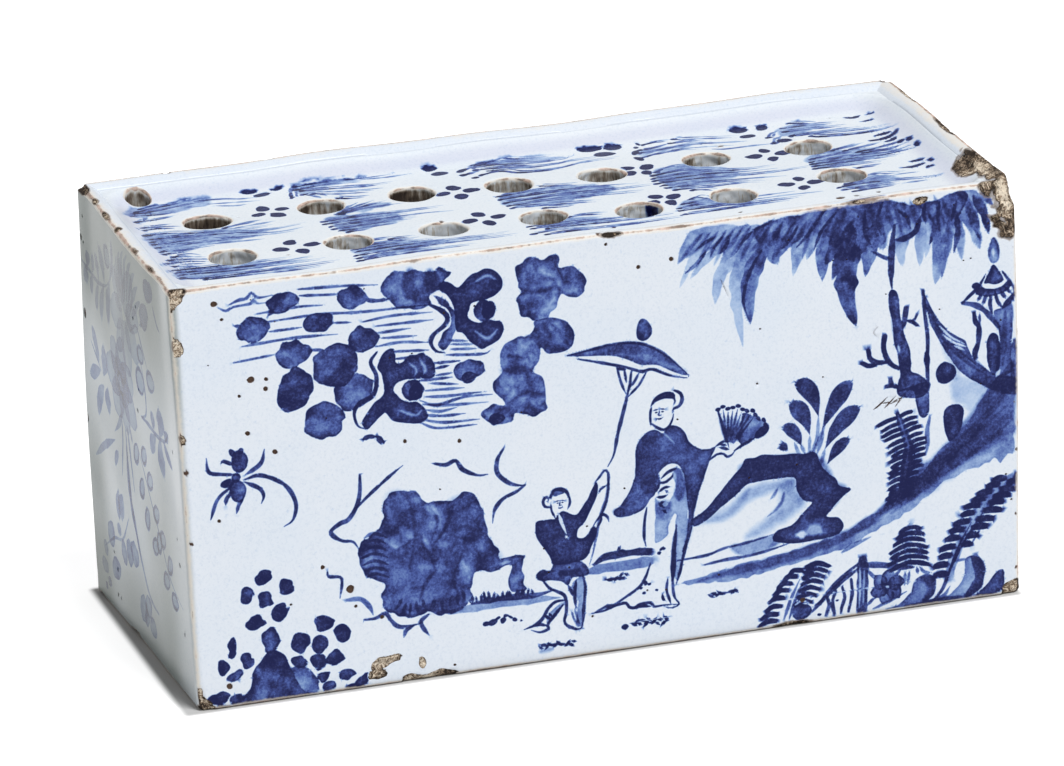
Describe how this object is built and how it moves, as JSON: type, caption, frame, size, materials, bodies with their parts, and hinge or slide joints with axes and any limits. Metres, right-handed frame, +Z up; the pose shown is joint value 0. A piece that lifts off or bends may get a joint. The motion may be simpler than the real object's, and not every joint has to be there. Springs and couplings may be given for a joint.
{
  "type": "flower brick",
  "caption": "Flower brick: a hollow, slab-built tin-glazed box whose sunk, pierced top holds cut flower stems upright in the water inside.",
  "frame": {"origin": "centre of the underside", "axes": "+X along the length, to the right of someone who faces the decorated front; +Y from the front to the back; +Z up"},
  "size_m": [0.152, 0.067, 0.077],
  "materials": {
    "tin_glaze": "gloss",
    "biscuit": "matte"
  },
  "bodies": {
    "root": {"front_wall": "tin_glaze", "back_wall": "tin_glaze", "left_end_wall": "tin_glaze", "right_end_wall": "tin_glaze", "pierced_top": "tin_glaze", "rim_coil": "tin_glaze", "base_slab": "tin_glaze", "floor_coil": "biscuit", "corner_coils": "biscuit"}
  },
  "joints": []
}
